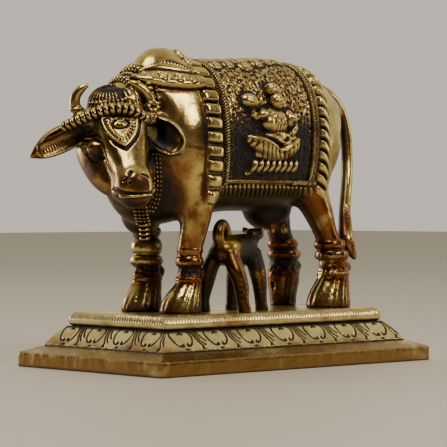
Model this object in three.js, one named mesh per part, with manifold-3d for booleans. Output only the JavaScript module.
// A small cast brass statue: a cow turning her head over a suckling calf, on a moulded plinth.
// Millimetres, +Z up. The origin is the middle of the plinth's underside. The cow faces -X.

import * as THREE from 'three';
import { mergeVertices } from 'three/addons/utils/BufferGeometryUtils.js';
import Module from 'manifold-3d';

const wasm = await Module();
wasm.setup();

// Driving sizes of the plinth, from the bottom up
const SLAB_HEIGHT = 4.5; // upright edge of the bottom slab
const SLOPE_RUN = 5.8; // sloped top of the slab
const SLOPE_RISE = 2.1;
const BAND_RUN = 5.2; // petal band that rises from the slope to the rim
const BAND_RISE = 6.1;
const BAND_LIP = 0.5; // small step at the foot of the band
const RIM_HEIGHT = 4.3; // rounded rim under the standing surface
const RIM_BULGE = 0.9;
const GROOVE_DEPTH = 0.9; // shadow line between band and rim
const PETAL_PITCH = 14;
const PETAL_PROUD = 0.55; // how far a petal stands out of the band
const FRONT_MARGIN = 9.6; // from the fore hooves to the edge of the standing surface
const BACK_MARGIN = 2.4;
const SIDE_MARGIN = 3.6;

// Driving sizes of the figures
const COW_HEIGHT = 81.5; // hooves to the top of the hump
const CALF_SHARE = 0.294; // the calf's rump height as a share of the cow's height
const CLOTH_PROUD = 0.8; // the saddle cloth over the cow's hide
const TRIM_PROUD = 0.9; // border tabs and cords over the cloth

const cow = COW_HEIGHT / 100; // the cow's tables are in hundredths of her height
const calf = cow * CALF_SHARE;
const FORE_HOOF = { x: -34.6, stance: 11, flare: 8.4 };
const HIND_HOOF = { x: 42.4, stance: 13.1, flare: 9.6 };
const HOOF_SHARE = 0.85; // a hoof's width against its length
const CALF_PLACE = [-5.2, -10.3]; // between the calf's legs, in the cow's hundredths
const CALF_TURN = 22; // degrees, its nose towards the cow's udder

// The standing surface is as long and wide as the hooves need
const plateZ = SLAB_HEIGHT + SLOPE_RISE + BAND_RISE + RIM_HEIGHT;
const hoofFront = (FORE_HOOF.x - FORE_HOOF.flare) * cow;
const hoofBack = (HIND_HOOF.x + HIND_HOOF.flare) * cow;
const hoofSide = (HIND_HOOF.stance + HIND_HOOF.flare * HOOF_SHARE) * cow;
const plateLength = FRONT_MARGIN + hoofBack - hoofFront + BACK_MARGIN;
const plateWidth = 2 * (hoofSide + SIDE_MARGIN);
const cowX = plateLength / 2 - BACK_MARGIN - hoofBack;
const plateRun = SLOPE_RUN + BAND_RUN + 2 * RIM_BULGE; // slab edge to standing surface
const slabLength = plateLength + 2 * plateRun;
const slabWidth = plateWidth + 2 * plateRun;

// Solids from vertex rings

function solidOf(geometry) {
  const bare = geometry.index ? geometry.clone() : geometry;
  for (const name of Object.keys(bare.attributes)) if (name !== 'position') bare.deleteAttribute(name);
  const merged = mergeVertices(bare, 1e-5);
  const mesh = new wasm.Mesh({
    numProp: 3,
    vertProperties: Float32Array.from(merged.attributes.position.array),
    triVerts: Uint32Array.from(merged.index.array),
  });
  mesh.merge();
  return new wasm.Manifold(mesh);
}

function join(solids) {
  return wasm.Manifold.union(solids);
}

// Rings of equal count, skinned into one closed solid with a fan at each end
function skin(rings) {
  const count = rings[0].length;
  const positions = [];
  const index = [];
  const middle = (ring) => ring.reduce((sum, p) => sum.add(p), new THREE.Vector3()).divideScalar(count);
  for (const ring of rings) for (const p of ring) positions.push(p.x, p.y, p.z);
  const last = rings.length - 1;
  for (const end of [0, last]) positions.push(...middle(rings[end]).toArray());
  const startFan = rings.length * count;
  for (let i = 0; i < count; i++) {
    const j = (i + 1) % count;
    for (let r = 0; r < last; r++) {
      const a = r * count;
      const b = a + count;
      index.push(a + i, a + j, b + j, a + i, b + j, b + i);
    }
    index.push(startFan, j, i);
    index.push(startFan + 1, last * count + i, last * count + j);
  }
  const geometry = new THREE.BufferGeometry();
  geometry.setAttribute('position', new THREE.Float32BufferAttribute(positions, 3));
  geometry.setIndex(signedVolume(positions, index) < 0 ? index.reverse() : index);
  return solidOf(geometry);
}

function signedVolume(p, index) {
  let six = 0;
  for (let i = 0; i < index.length; i += 3) {
    const [a, b, c] = [index[i] * 3, index[i + 1] * 3, index[i + 2] * 3];
    six += p[a] * (p[b + 1] * p[c + 2] - p[b + 2] * p[c + 1])
      - p[a + 1] * (p[b] * p[c + 2] - p[b + 2] * p[c])
      + p[a + 2] * (p[b] * p[c + 1] - p[b + 1] * p[c]);
  }
  return six;
}

// A power of 2 is an ellipse, and a higher one a squarer section
function rounded(angle, power) {
  const c = Math.cos(angle);
  const s = Math.sin(angle);
  return [Math.sign(c) * Math.abs(c) ** (2 / power), Math.sign(s) * Math.abs(s) ** (2 / power)];
}

// A limb along a smooth spine. A station is [x, y, z, half width, half height]
function limb(stations, { sides = 12, steps = 2, reference = [0, 0, 1], power = 2, scale = 1 } = {}) {
  const spine = new THREE.CatmullRomCurve3(stations.map(([x, y, z]) => new THREE.Vector3(x, y, z)));
  const sizes = new THREE.CatmullRomCurve3(stations.map((s) => new THREE.Vector3(s[3], s[4], 0)));
  const upward = new THREE.Vector3(...reference);
  const total = (stations.length - 1) * steps;
  const rings = [];
  for (let k = 0; k <= total; k++) {
    const t = k / total;
    const centre = spine.getPoint(t);
    const size = sizes.getPoint(t);
    const along = spine.getTangent(t);
    const side = new THREE.Vector3().crossVectors(upward, along).normalize();
    const up = new THREE.Vector3().crossVectors(along, side);
    const ring = [];
    for (let i = 0; i < sides; i++) {
      const [c, s] = rounded((2 * Math.PI * (i + 0.5)) / sides, power);
      ring.push(centre.clone().addScaledVector(side, c * size.x).addScaledVector(up, s * size.y).multiplyScalar(scale));
    }
    rings.push(ring);
  }
  return skin(rings);
}

function ball(x, y, z, rx, ry, rz, turnAboutY = 0, detail = [8, 6]) {
  const geometry = new THREE.SphereGeometry(1, ...detail);
  geometry.rotateX(Math.PI / 2);
  geometry.scale(rx, ry, rz);
  geometry.rotateY(THREE.MathUtils.degToRad(turnAboutY));
  geometry.translate(x, y, z);
  return solidOf(geometry);
}

// Smooth value between the rows of a table whose first column falls or rises steadily
function between(rows, x, column) {
  const sign = Math.sign(rows.at(-1)[0] - rows[0][0]);
  let k = rows.findIndex((row) => (row[0] - x) * sign > 0);
  k = k < 0 ? rows.length - 1 : Math.max(k, 1);
  const [a, b] = [rows[k - 1], rows[k]];
  const before = rows[k - 2] ?? a;
  const after = rows[k + 1] ?? b;
  const t = THREE.MathUtils.clamp((x - a[0]) / (b[0] - a[0]), 0, 1);
  const span = b[0] - a[0];
  const slopeA = ((b[column] - before[column]) / (b[0] - before[0])) * span;
  const slopeB = ((after[column] - a[column]) / (after[0] - a[0])) * span;
  const t2 = t * t;
  const t3 = t2 * t;
  return (2 * t3 - 3 * t2 + 1) * a[column] + (t3 - 2 * t2 + t) * slopeA
    + (3 * t2 - 2 * t3) * b[column] + (t3 - t2) * slopeB;
}

// The plinth

const bandFoot = SLAB_HEIGHT + SLOPE_RISE;
const bandHead = bandFoot + BAND_RISE;

// Mitred mouldings: a rectangle at each height, set in from the slab's edge by a run
function plinthRing([run, z]) {
  const x = slabLength / 2 - run;
  const y = slabWidth / 2 - run;
  return [[-x, -y], [x, -y], [x, y], [-x, y]].map(([a, b]) => new THREE.Vector3(a, b, z));
}

// Steep at the foot and flatter towards the rim
function bandProfile(t) {
  const rise = Math.sin((t * Math.PI) / 2) * 0.35 + t * 0.65;
  return [SLOPE_RUN + BAND_RUN * t, bandFoot + BAND_RISE * rise];
}

function plinthBody() {
  const profile = [[0, 0], [0, SLAB_HEIGHT], [SLOPE_RUN, bandFoot]];
  for (const t of [0, 0.25, 0.5, 0.75, 1]) {
    const [run, z] = bandProfile(t);
    profile.push([run, z + BAND_LIP * (1 - t)]);
  }
  const rimRun = SLOPE_RUN + BAND_RUN + RIM_BULGE;
  profile.push([rimRun + GROOVE_DEPTH - RIM_BULGE, bandHead]);
  for (const degrees of [-60, -30, 0, 30, 60, 90]) {
    const angle = THREE.MathUtils.degToRad(degrees);
    const inward = degrees > 0 ? RIM_BULGE * Math.sin(angle) : 0;
    profile.push([
      rimRun - RIM_BULGE * Math.cos(angle) + inward,
      bandHead + (RIM_HEIGHT / 2) * (1 + Math.sin(angle)),
    ]);
  }
  return skin(profile.map(plinthRing));
}

// A tongue-shaped petal with a raised heart, lying on the band with its tip down
function petal() {
  const half = PETAL_PITCH * 0.36;
  const length = Math.hypot(BAND_RUN, BAND_RISE) * 0.86;
  const outline = new THREE.Shape();
  outline.moveTo(-half * 0.75, length / 2);
  outline.bezierCurveTo(-half * 1.15, 0, -half, -length * 0.42, 0, -length / 2);
  outline.bezierCurveTo(half, -length * 0.42, half * 1.15, 0, half * 0.75, length / 2);
  outline.closePath();
  return new THREE.ExtrudeGeometry(outline, { depth: 2 * PETAL_PROUD, bevelEnabled: false, curveSegments: 3 });
}

function petalRow(length, reach, turn) {
  const count = Math.max(1, Math.round((length - PETAL_PITCH * 0.5) / PETAL_PITCH));
  const pitch = length / count;
  const lean = Math.atan2(BAND_RISE, BAND_RUN);
  const [run, z] = bandProfile(0.5);
  const row = [];
  for (let i = 0; i < count; i++) {
    const geometry = petal();
    geometry.translate(0, 0, -PETAL_PROUD);
    geometry.rotateX(lean);
    geometry.translate((i + 0.5 - count / 2) * pitch, -(reach - run), z);
    geometry.rotateZ(turn);
    row.push(solidOf(geometry));
  }
  return row;
}

function makePlinth() {
  const inset = 2 * (SLOPE_RUN + BAND_RUN * 0.75);
  const petals = [0, 1].flatMap((half) => [
    ...petalRow(slabLength - inset, slabWidth / 2, Math.PI * half),
    ...petalRow(slabWidth - inset, slabLength / 2, Math.PI * (half + 0.5)),
  ]);
  return join([plinthBody(), ...petals]);
}

// The cow's trunk: x, top, bottom, half width
const BARREL = [
  [57.2, 78, 69, 3],
  [55.2, 82, 64.5, 7.4],
  [50.5, 86.2, 58, 12],
  [42, 90.8, 48.5, 16.4],
  [31, 94.6, 41, 19.6],
  [12, 95.6, 38.5, 21],
  [-6, 94.5, 38, 21],
  [-22, 94, 36, 20.2],
  [-35, 94.5, 33.5, 18],
  [-45, 92, 33, 14.5],
  [-53, 88, 37, 11.5],
  [-58.5, 82, 44, 9],
  [-62, 74, 49, 6.5],
  [-64.5, 66, 53, 3],
];
const BARREL_POWER = 2.35;

function barrelSection(x) {
  const [top, bottom, half] = [1, 2, 3].map((column) => between(BARREL, x, column));
  return { middle: (top + bottom) / 2, tall: (top - bottom) / 2, half };
}

// A point on the hide, angle 0 on the far flank and 180 on the near one, with the outward normal
function onBarrel(x, angle, proud = 0) {
  const { middle, tall, half } = barrelSection(x);
  const [c, s] = rounded(angle, BARREL_POWER);
  const normal = new THREE.Vector3(
    0,
    (Math.sign(c) * Math.abs(c) ** (BARREL_POWER - 1)) / half,
    (Math.sign(s) * Math.abs(s) ** (BARREL_POWER - 1)) / tall,
  ).normalize();
  return new THREE.Vector3(x, half * c, middle + tall * s).addScaledVector(normal, proud);
}

function angleAtHeight(x, z) {
  const { middle, tall } = barrelSection(x);
  const s = THREE.MathUtils.clamp((z - middle) / tall, -1, 1);
  return Math.asin(Math.sign(s) * Math.abs(s) ** (BARREL_POWER / 2));
}

// Place across the cloth: 0 at the near hem, 0.5 on the spine, 1 at the far hem
function onCloth(x, across, proud) {
  const low = angleAtHeight(x, CLOTH_HEM);
  return onBarrel(x, Math.PI - low - across * (Math.PI - 2 * low), proud);
}

function barrel() {
  const rings = [];
  const sides = 20;
  for (const [x] of BARREL) {
    rings.push(Array.from({ length: sides }, (_, i) => onBarrel(x, (2 * Math.PI * (i + 0.5)) / sides)));
  }
  return skin(rings.map((ring) => ring.map((p) => p.multiplyScalar(cow))));
}

// A curved tile on the hide between two heights over it
function tile(x0, x1, across0, across1, proud, sunk, nx = 1, na = 1) {
  const rows = [];
  const row = (x, level) => Array.from({ length: na + 1 }, (_, j) =>
    onCloth(x, across0 + ((across1 - across0) * j) / na, level).multiplyScalar(cow));
  for (let i = 0; i <= nx; i++) {
    const x = x0 + ((x1 - x0) * i) / nx;
    rows.push([...row(x, proud), ...row(x, -sunk).reverse()]);
  }
  return skin(rows);
}

// The saddle cloth
const CLOTH_FRONT = -29;
const CLOTH_BACK = 35;
const CLOTH_HEM = 45.5;
const cloth = CLOTH_PROUD / cow;
const trim = TRIM_PROUD / cow;
const SUNK = 2.5; // how deep a laid-on tile reaches into the hide

function borderTabs() {
  const tabs = 9;
  const deep = 4; // the tab's length across the border
  const overhang = 1.2; // past the cloth's own edge
  const parts = [];
  for (let i = 0; i < tabs; i++) {
    const [a, b] = [(i + 0.1) / tabs, (i + 0.9) / tabs];
    parts.push(tile(CLOTH_FRONT - overhang, CLOTH_FRONT + deep, a, b, cloth + trim, SUNK));
    parts.push(tile(CLOTH_BACK - deep, CLOTH_BACK + overhang, a, b, cloth + trim, SUNK));
  }
  return parts;
}

// One fringe along each hem
function hemFringe() {
  const margin = 5.5;
  return [[-0.014, 0.045], [0.955, 1.014]].map(([a, b]) =>
    tile(CLOTH_FRONT + margin, CLOTH_BACK - margin, a, b, cloth + trim * 0.8, SUNK, 4));
}

// Cord round the picture field
function fieldCord() {
  const thick = 1.6;
  const proud = cloth + trim * 0.7;
  const inner = [CLOTH_FRONT + 6.2, CLOTH_BACK - 6.2];
  const hem = 0.075;
  return [
    ...inner.map((x) => tile(x - thick / 2, x + thick / 2, hem, 1 - hem, proud, SUNK, 1, 6)),
    ...[hem, 1 - hem - 0.02].map((a) => tile(inner[0], inner[1], a, a + 0.02, proud, SUNK, 2)),
  ];
}

// Scalloped piece along the spine
function spineScallops() {
  const scallops = 4;
  const pitch = (CLOTH_BACK - CLOTH_FRONT - 14) / scallops;
  return Array.from({ length: scallops }, (_, i) => {
    const x = CLOTH_FRONT + 7 + i * pitch;
    return tile(x + 0.4, x + pitch - 0.4, 0.405, 0.595, cloth + trim, SUNK, 1, 3);
  });
}

function saddleCloth() {
  const blanket = tile(CLOTH_FRONT, CLOTH_BACK, 0, 1, cloth, SUNK, 4, 12);
  return [blanket, ...borderTabs(), ...hemFringe(), ...fieldCord(), ...spineScallops()];
}

// A seated figure on each flank: place along the cow, height, half length, half height, tilt, proud
const FIGURE = [
  [6.4, 80.2, 2.9, 3.4, 0, 3.4], // head
  [4.4, 84.2, 3.4, 3, -25, 3], // wound turban
  [5.4, 71.4, 6, 6.8, 0, 3.4], // chest and belly
  [-2.6, 76.2, 1.8, 5.6, 50, 2.6], // raised arm
  [-6.6, 81.2, 3.4, 3.4, 0, 3.2], // round fruit in the hand
  [12.6, 69.4, 1.9, 6, -12, 2.8], // lowered arm
  [-2.6, 62.4, 8, 3.8, 14, 3.6], // folded leg
  [12, 61.8, 7, 3.8, -24, 3.6], // folded leg
  [4.6, 57.4, 8.4, 3.4, 0, 3], // fall of the skirt
  [3.6, 52.4, 9.4, 2.2, 0, 2.6], // lotus seat
];

function flankFigure(side) {
  return FIGURE.map(([x, z, rx, rz, tilt, proud]) => {
    const angle = angleAtHeight(x, z);
    const p = onBarrel(x, side < 0 ? Math.PI - angle : angle, cloth);
    return ball(p.x * cow, p.y * cow, z * cow, rx * cow, proud * cow * 0.8, rz * cow, tilt, [6, 4]);
  });
}

// Wing feathers that lie forward from the cloth over each shoulder: root and tip as [x, height]
const FEATHERS = [
  { root: [-27, 87.4], tip: [-55, 88.5], wide: 3.6, proud: 3 },
  { root: [-27, 93.4], tip: [-49, 95.5], wide: 3, proud: 2 },
];

function wing(side) {
  return FEATHERS.map(({ root, tip, wide, proud }) => {
    const stations = [];
    const count = 4;
    for (let i = 0; i <= count; i++) {
      const t = i / count;
      const x = root[0] + (tip[0] - root[0]) * t;
      const angle = angleAtHeight(x, root[1] + (tip[1] - root[1]) * t);
      const p = onBarrel(x, side < 0 ? Math.PI - angle : angle, proud * 0.35);
      const swell = Math.sin(Math.PI * (0.34 + 0.64 * t)) ** 0.8;
      stations.push([p.x, p.y, p.z, proud * swell + 0.2, wide * swell + 0.3]);
    }
    return limb(stations, { sides: 6, steps: 1, reference: [0, side * 0.5, 1], scale: cow });
  });
}

// Legs, from rows of height, x, y, half length and half width
function leg(rows, scale, sides) {
  return skin(rows.map(([z, x, y, rx, ry]) => Array.from({ length: sides }, (_, i) => {
    const a = (2 * Math.PI * (i + 0.5)) / sides;
    return new THREE.Vector3(x + rx * Math.cos(a), y + ry * Math.sin(a), z).multiplyScalar(scale);
  })));
}

// A ring round a leg, as three rows of its profile
function anklet(x, y, z, half, radius) {
  return [[half, 0.82], [0, 1.02], [-half, 0.82]].map(([up, share]) =>
    [z + up, x, y, radius * share, radius * share]);
}

// The splayed hoof under a pastern that ends at a height
function hoof({ x, stance, flare }, side, pastern) {
  const [top, lean] = [pastern[0], pastern[1] - x];
  const [y, high] = [side * stance, side * pastern[2]];
  return [
    [top, x + lean, high, pastern[3], pastern[4]],
    [top * 0.5, x + lean * 0.3, (2 * y + high) / 3, flare * 0.88, flare * 0.88 * HOOF_SHARE],
    [1.4, x, y, flare, flare * HOOF_SHARE],
    [0, x, y, flare * 0.95, flare * HOOF_SHARE * 0.95],
  ];
}

// Each leg stands over its own hoof. The far foreleg's rings are fuller than the near one's
function foreLeg(side) {
  const { x, stance } = FORE_HOOF;
  const y = side * stance;
  const girth = side > 0 ? 1.08 : 0.9;
  return leg([
    [58, x + 6.1, y * 1.15, 11, 7.5],
    [44, x + 5.6, y * 1.27, 8.4, 7],
    [35, x + 4.6, y * 1.31, 6.6, 6],
    [28, x + 4, y * 1.2, 5.9, 5.5],
    ...anklet(x + 3.6, y * 1.12, 23.8, 1.9, 5.5 * girth),
    ...anklet(x + 3.4, y * 1.12, 19.4, 1.9, 6 * girth),
    [16.8, x + 3.6, y * 1.09, 4.7 * girth, 4.6 * girth],
    ...hoof(FORE_HOOF, side, [12, x + 3.4, stance * 1.08, 5 * girth, 4.8 * girth]),
  ], cow, 9);
}

// The far hoof is straighter than the near one
function hindLeg(side) {
  const { x, stance } = HIND_HOOF;
  const y = side * stance;
  const flare = side > 0 ? HIND_HOOF.flare * 0.75 : HIND_HOOF.flare;
  return leg([
    [60, x - 5.6, y * 0.61, 11.6, 8],
    [47, x - 8.8, y * 0.79, 9, 7.3],
    [36, x - 4.6, y * 0.95, 6.6, 5.8],
    ...anklet(x + 0.6, y * 1.02, 25.4, 1.9, 6.4),
    ...anklet(x + 1.6, y * 1.03, 21, 1.9, 6.9),
    [18.4, x + 1.9, y * 1.07, 5.8, 5.6],
    ...hoof({ x, stance, flare }, side, [13, x + 1.9, stance * 1.07, 6, 5.6]),
  ], cow, 9);
}

// The head's own axes: towards the cow's right, forward out of the face, and up
const HEAD_AT = [-58.1, -1.7, 75.4]; // midway between the horns' roots
const HEAD_YAW = 60; // from straight ahead round to her left, in degrees
const HEAD_ROLL = 6; // her right ear lower than her left

// Turns a place, or a solid made around the origin, into the head's axes
const headFrame = new THREE.Matrix4()
  .makeRotationZ(THREE.MathUtils.degToRad(HEAD_YAW - 90))
  .multiply(new THREE.Matrix4().makeRotationY(THREE.MathUtils.degToRad(-HEAD_ROLL)))
  .setPosition(...HEAD_AT);

function headPoint(rightward, forward, up) {
  return new THREE.Vector3(-rightward, -forward, up).applyMatrix4(headFrame);
}

function headBall([r, f, u], sizes, detail) {
  const geometry = new THREE.SphereGeometry(1, ...detail);
  geometry.rotateX(Math.PI / 2);
  geometry.scale(...sizes);
  geometry.translate(-r, -f, u);
  geometry.applyMatrix4(headFrame);
  geometry.scale(cow, cow, cow);
  return solidOf(geometry);
}

// Rows of rightward, forward, up, half width and half thickness
function headLimb(rows, options = {}) {
  const stations = rows.map(([r, f, u, w, h]) => [...headPoint(r, f, u).toArray(), w, h]);
  return limb(stations, { reference: [0, 0, 1], steps: 1, scale: cow, ...options });
}

function skull() {
  const face = headLimb([
    [0, -9, 2, 4, 4],
    [0, -4, 0, 9, 8],
    [0, 1.5, -5, 10, 9.4],
    [0, 6, -12, 9.6, 9.2],
    [0, 10.5, -18.5, 7.8, 8.6],
    [0, 15, -24, 6.6, 7.8],
    [0, 19, -28, 6.9, 6.8],
    [0, 21.5, -31, 5.8, 5],
    [0, 22.5, -32.8, 2.8, 2.4],
  ], { sides: 12, power: 2.3 });
  const cheeks = [-1, 1].map((side) => headLimb([
    [side * 9, -6, -5, 4, 5],
    [side * 9.5, -3, -12, 6.4, 8],
    [side * 8.5, 1, -19, 5.8, 8],
    [side * 7, 5.5, -24.5, 4.8, 6],
    [side * 4, 12, -29.4, 3, 4],
  ], { sides: 7 }));
  const chin = headLimb([
    [0, 0, -20, 6, 7],
    [0, 7, -26, 6, 6],
    [0, 13, -30, 6, 4.6],
    [0, 17.5, -32.4, 5.2, 3],
    [0, 20.5, -33.6, 3, 1.8],
  ], { sides: 8 });
  const poll = headLimb([
    [-15.5, 0, -3.5, 3, 2.6],
    [-8, 0, -2, 6, 4.5],
    [8, 0, -2, 6, 4.5],
    [15.5, 0, -3.5, 3, 2.6],
  ], { sides: 8 });
  return [face, ...cheeks, chin, poll];
}

// A cupped ear: the same rows, smaller and set forward, make its hollow
function ear(rows) {
  const outer = headLimb(rows, { sides: 8 });
  const inner = rows.map(([r, f, u, w, h]) => [r, f + 1.6, u - 0.4, w * 0.75, h * 0.75]);
  return outer.subtract(headLimb(inner, { sides: 8 }));
}

// The right ear stands straight out, the left one is pushed forward by the shoulder
function ears() {
  return [
    ear([
      [14, 0, -6, 3, 3.5],
      [18.5, -0.4, -7.4, 3.4, 4.4],
      [23.6, -0.6, -9.3, 3.2, 4.6],
      [28.4, -0.4, -11.4, 2.4, 3.4],
      [33.2, 0, -13.8, 0.8, 0.9],
    ]),
    ear([
      [-11.5, 1.5, -6, 3, 3.4],
      [-14.8, 2, -8.6, 4, 5.4],
      [-17.8, 3.2, -12.2, 4.2, 6],
      [-20.4, 4.6, -15.4, 3, 4.4],
      [-22.2, 5.6, -17.8, 0.9, 1],
    ]),
  ];
}

function horn(side) {
  return headLimb([
    [side * 12, -0.5, -1.5, 2.2, 2.2],
    [side * 14.4, -0.5, 0.4, 1.9, 1.9],
    [side * 15.2, -0.3, 4, 1.6, 1.6],
    [side * 13.4, 0.2, 7, 1.2, 1.2],
    [side * 9.6, 0.8, 9.2, 0.5, 0.5],
  ], { sides: 7, reference: [0.2, 0.9, 0] });
}

// Ribbed brow band from ear to ear, and the tuft of hair behind it
function headdress() {
  const ribs = 6;
  const rows = Array.from({ length: 2 * ribs + 1 }, (_, i) => {
    const a = Math.PI * (0.04 + (0.92 * i) / (2 * ribs));
    const thick = i % 2 ? 2.9 : 2.1;
    return [Math.cos(a) * 15, 1.5 + Math.sin(a) * 8, -4 + Math.sin(a) * 4, thick, thick];
  });
  return [headLimb(rows, { sides: 6 }), headBall([1, -2, 2.5], [8.5, 7, 7.5], [8, 5])];
}

// Pointed brow shield, a flat prism let into the forehead
function browShield() {
  const half = 6.8;
  const outline = new THREE.Shape();
  outline.moveTo(-half, 4.5);
  outline.quadraticCurveTo(-half * 1.05, -3.5, 0, -9);
  outline.quadraticCurveTo(half * 1.05, -3.5, half, 4.5);
  outline.quadraticCurveTo(0, 7, -half, 4.5);
  const thick = 4;
  const proud = 1;
  const geometry = new THREE.ExtrudeGeometry(outline, { depth: thick, bevelEnabled: false, curveSegments: 4 });
  geometry.translate(0, 0, proud - thick);
  geometry.rotateX(THREE.MathUtils.degToRad(57)); // the forehead's slope
  geometry.translate(0, -12.4, -6.6);
  geometry.applyMatrix4(headFrame);
  geometry.scale(cow, cow, cow);
  return solidOf(geometry);
}

function makeHead() {
  const eyes = [-1, 1].map((side) => headBall([side * 9.6, 8, -13.6], [2.6, 4, 2.8], [6, 4]));
  const nose = [-1, 1].map((side) => headBall([side * 4.2, 24.2, -26.4], [1.3, 2.2, 1.2], [5, 3]));
  const mouth = headLimb([
    [-8.5, 17, -28, 0.6, 0.6],
    [-5.5, 23.5, -30.4, 0.8, 0.8],
    [0, 26.4, -31.2, 0.9, 0.9],
    [5.5, 23.5, -30.4, 0.8, 0.8],
    [8.5, 17, -28, 0.6, 0.6],
  ], { sides: 6 });
  const parts = [...skull(), ...eyes, ...ears(), horn(-1), horn(1), ...headdress(), browShield()];
  return { parts, cuts: [mouth, ...nose] };
}

// Neck behind the head, hump, garland and chest bell
function neck() {
  const throat = limb([
    [-38, 0, 68, 13, 22],
    [-48, -0.4, 69, 11.5, 18],
    [-56, -0.8, 71.5, 9.5, 13],
    [-61, -1.4, 74, 5, 6],
  ], { sides: 10, steps: 1, scale: cow });
  const hump = ball(-35 * cow, 0, 88.5 * cow, 13 * cow, 8.5 * cow, 11.5 * cow, 0, [8, 6]);
  const pendant = [0, 1, 2].map((i) => {
    const p = onBarrel(-56.5 + i * 2, Math.PI * (1.12 + i * 0.08), 0.4).multiplyScalar(cow);
    return ball(...p, 2.2 * cow, 2.2 * cow, 2.4 * cow, 0, [6, 4]);
  });
  return [throat, hump, garland(), ...pendant];
}

// Garland round the base of the neck, as a disc that stands out of the hide
function garland() {
  const [x, lean, half, sides] = [-50, -3, 1.7, 11];
  return skin([-half, -half * 0.4, half * 0.4, half].map((step, k) => Array.from({ length: sides }, (_, i) => {
    const angle = (2 * Math.PI * (i + 0.5)) / sides;
    return onBarrel(x + step - lean * Math.sin(angle) * 0.5, angle, k % 3 === 0 ? -0.6 : 1.5).multiplyScalar(cow);
  })));
}

function tail() {
  return limb([
    [44, 0, 88.2, 2.8, 2.6],
    [50.5, 0, 86.8, 2.8, 2.6],
    [57.2, -0.4, 83.6, 2.7, 2.5],
    [61.8, -0.8, 78.4, 2.6, 2.4],
    [64.4, -1.4, 70, 2.6, 2.3],
    [64.1, -2.6, 59, 2.5, 2.3],
    [61.4, -5, 49, 2.5, 2.3],
    [56.4, -8.8, 40, 2.5, 2.3],
    [53.4, -11.8, 33, 2.9, 2.6],
    [51.4, -14.9, 26, 3.1, 2.8],
    [54.4, -15.8, 19.8, 1.4, 1.3],
  ], { sides: 6, steps: 1, reference: [0, 1, 0], scale: cow });
}

function udder() {
  const bag = ball(22.5 * cow, 1.5 * cow, 39 * cow, 11 * cow, 8 * cow, 8.4 * cow, 0, [8, 6]);
  const teats = [[21, -3], [21, 5], [28, -3], [28, 5]].map(([x, y]) =>
    ball(x * cow, y * cow, 31.5 * cow, 1.5 * cow, 1.5 * cow, 3 * cow, 0, [5, 3]));
  return [bag, ...teats];
}

function makeCow() {
  const head = makeHead();
  const sides = [-1, 1];
  const whole = join([
    barrel(),
    ...saddleCloth(),
    ...sides.flatMap((side) => [...flankFigure(side), ...wing(side), foreLeg(side), hindLeg(side)]),
    ...head.parts,
    ...neck(),
    ...udder(),
    tail(),
  ]);
  return head.cuts.reduce((solid, cut) => solid.subtract(cut), whole);
}

// The calf, in hundredths of its own height, nose towards +X before it is turned
function calfLeg(x, side, bow, spread) {
  return leg([
    [76, x - bow * 2, side * 10, 13, 9],
    [54, x - bow * 4, side * (13 + spread * 6), 13, 9.5],
    [34, x - bow, side * (15 + spread * 10), 9.5, 7.5],
    [15, x - bow * 3, side * (16 + spread * 12), 6.5, 6],
    [6, x, side * (17 + spread * 12), 7.5, 6.5],
    [0, x + 1, side * (17 + spread * 12), 8, 7],
  ], calf, 7);
}

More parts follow.
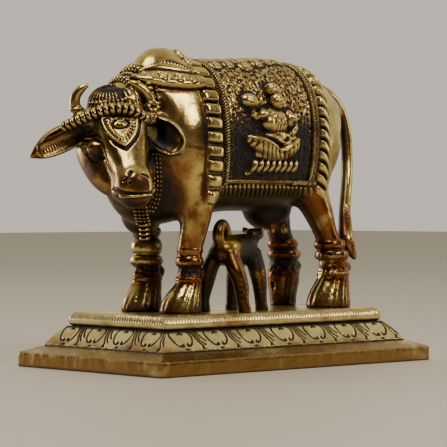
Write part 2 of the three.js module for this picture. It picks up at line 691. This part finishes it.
function makeCalf() {
  const trunk = limb([
    [-46, 0, 74, 7, 7],
    [-42, 0, 77, 16, 16],
    [-29, 0, 79, 19, 20],
    [0, 0, 79, 18, 21],
    [28, 0, 80, 16, 20],
    [41, 0, 85, 8, 11],
  ], { sides: 9, steps: 1, scale: calf });
  const neckLimb = limb([
    [26, 0, 82, 11, 14],
    [42, 0, 86, 9.5, 11],
    [52, 0, 92, 8, 9],
    [56, 0, 98, 5, 6],
  ], { sides: 8, steps: 1, scale: calf, reference: [1, 0, 0] });
  const headShape = limb([
    [46, 0, 97, 6, 6],
    [50, 0, 98, 10.5, 9.5],
    [60, 0, 98, 9, 8],
    [74, 0, 98.5, 6.2, 5.8],
    [80, 0, 99, 3, 3],
  ], { sides: 8, steps: 1, scale: calf });
  const ears = [-1, 1].map((side) => limb([
    [54, side * 6, 101, 3.4, 3.6],
    [53, side * 11, 104, 3.2, 4.6],
    [52, side * 14, 107, 1.6, 2.2],
  ], { sides: 6, steps: 1, scale: calf }));
  const tailArch = limb([
    [-40, 0, 80, 7.5, 7.5],
    [-50, 0, 88, 7.5, 7.5],
    [-56, 0, 98, 7.6, 7.6],
    [-53, 0, 108, 7.4, 7.4],
    [-43, 0, 113, 7, 7],
    [-33, 0, 108, 6.4, 6.4],
    [-28, 0, 100, 5.8, 5.8],
    [-25, 0, 93, 5, 5],
  ], { sides: 7, steps: 1, reference: [0, 1, 0], scale: calf });
  const legs = [-1, 1].flatMap((side) => [calfLeg(-38, side, 1, 1), calfLeg(32, side, 0.2, 0.4)]);
  return join([trunk, neckLimb, headShape, ...ears, tailArch, ...legs])
    .rotate([0, 0, CALF_TURN])
    .translate([CALF_PLACE[0] * cow, CALF_PLACE[1] * cow, 0]);
}

// Materials and the finished group

function brass(color, roughness) {
  return new THREE.MeshStandardMaterial({ color, roughness, metalness: 1 });
}

function meshOf(name, solid, material, place) {
  const { vertProperties, triVerts, numProp } = solid.getMesh();
  const positions = [];
  for (let i = 0; i < vertProperties.length; i += numProp) positions.push(...vertProperties.slice(i, i + 3));
  const geometry = new THREE.BufferGeometry();
  geometry.setAttribute('position', new THREE.Float32BufferAttribute(positions, 3));
  geometry.setIndex(Array.from(triVerts));
  geometry.computeVertexNormals();
  const mesh = new THREE.Mesh(geometry, material);
  mesh.name = name;
  mesh.position.set(...place);
  return mesh;
}

const group = new THREE.Group();
group.add(meshOf('plinth', makePlinth(), brass(0xb08a4a, 0.4), [0, 0, 0]));
group.add(meshOf('cow', makeCow(), brass(0xc39a4e, 0.3), [cowX, 0, plateZ]));
group.add(meshOf('calf', makeCalf(), brass(0x8a6534, 0.35), [cowX, 0, plateZ]));

export default group;
